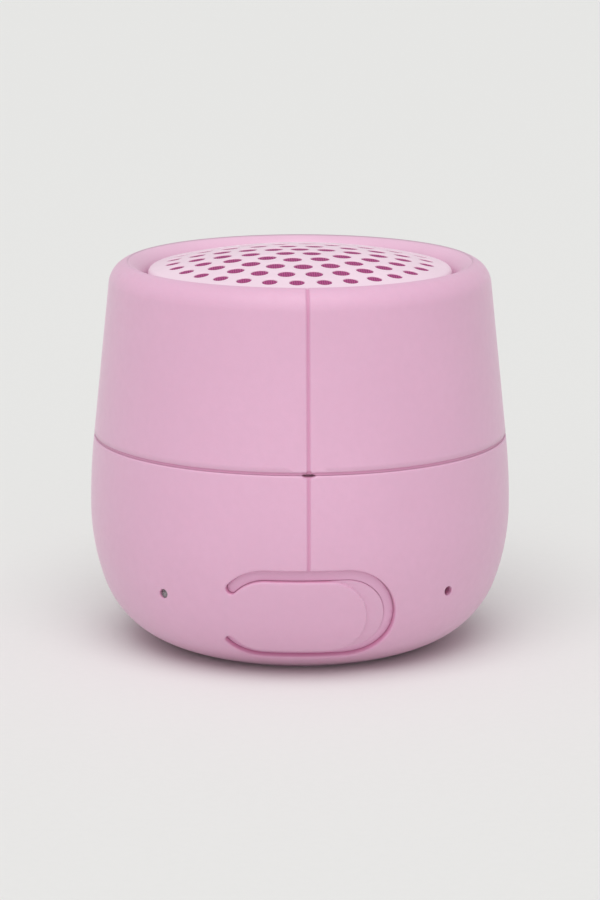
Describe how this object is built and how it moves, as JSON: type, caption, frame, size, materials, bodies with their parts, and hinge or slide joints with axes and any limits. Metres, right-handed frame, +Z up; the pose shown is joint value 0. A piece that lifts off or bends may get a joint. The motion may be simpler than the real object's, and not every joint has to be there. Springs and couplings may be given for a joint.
{
  "type": "shower speaker",
  "caption": "Squat round pocket speaker for the shower, with a domed perforated grille on top, two soft skins and a moulded flap over its charging socket.",
  "frame": {"origin": "middle of the foot ring, on the surface that the speaker stands on", "axes": "+Z up through the grille, the charging-port flap faces -Y, +X is on its right"},
  "size_m": [0.054, 0.054, 0.0506],
  "materials": {
    "skin": "soft-touch matte pink silicone",
    "shell": "matte pink moulding",
    "grille": "satin pale pink moulding",
    "mesh_cloth": "dark magenta woven mesh",
    "foot_rubber": "matte pink silicone",
    "black_rubber": "matte black seal",
    "steel": "plain steel",
    "nickel": "nickel plate",
    "copper": "enamelled copper",
    "board_green": "green solder mask",
    "black_plastic": "black moulding",
    "white_plastic": "natural white moulding",
    "clear_plastic": "clear light guide",
    "paper": "black pressed paper",
    "spider_cloth": "amber treated cloth",
    "foil": "aluminium pouch",
    "foam": "grey foam tape",
    "red_lead": "red insulation",
    "black_lead": "black insulation"
  },
  "bodies": {
    "housing": {"upper_skin": "skin", "lower_skin": "skin", "upper_shell": "shell", "lower_shell": "shell", "speaker_grille": "grille", "grille_mesh": "mesh_cloth", "foot_ring": "foot_rubber", "housing_seal": "black_rubber", "housing_screws": "steel", "tray_screws": "steel", "driver_screws": "steel", "tact_switch": "nickel", "main_board": "board_green", "wireless_module": "steel", "amplifier_chip": "black_plastic", "charger_chip": "black_plastic", "power_inductor": "black_plastic", "board_capacitors": "foil", "board_passives": "white_plastic", "antenna_chip": "white_plastic", "speaker_connector": "white_plastic", "battery_connector": "white_plastic", "charging_socket": "nickel", "socket_tongue": "black_plastic", "port_gasket": "black_rubber", "status_led": "white_plastic", "light_pipe": "clear_plastic", "microphone_boot": "black_rubber", "microphone": "nickel", "microphone_leads": "black_lead", "battery_tray": "black_plastic", "battery_pad": "foam", "battery_cell": "foil", "driver_basket": "steel", "driver_gasket": "foam", "yoke_cup": "steel", "driver_magnet": "nickel", "pole_plate": "steel", "terminal_strip": "board_green", "spider": "spider_cloth", "surround": "black_rubber", "speaker_lead_red": "red_lead", "speaker_lead_black": "black_lead", "battery_lead_red": "red_lead", "battery_lead_black": "black_lead"},
    "flap": {"port_flap": "skin"},
    "button": {"power_button": "foot_rubber", "button_seal": "black_rubber", "switch_plunger": "black_plastic"},
    "cone": {"speaker_cone": "paper", "dust_cap": "paper", "coil_former": "foil", "voice_coil": "copper"}
  },
  "joints": [
    {"name": "flap_hinge", "type": "hinge", "parent": "housing", "child": "flap", "pos_m": [-0.0092, -0.0229, 0.00869], "axis": [0, 0.3303, -0.9439], "range_deg": [0, 90], "stiffness_Nm_per_rad": 0.0002},
    {"name": "button_press", "type": "slide", "parent": "housing", "child": "button", "axis": [0, 0, 1], "range_m": [0, 0.00035], "stiffness_N_per_m": 900},
    {"name": "cone_travel", "type": "slide", "parent": "housing", "child": "cone", "axis": [0, 0, 1], "range_m": [-0.0008, 0.0008], "stiffness_N_per_m": 1500, "deforming": ["surround", "spider"]}
  ]
}
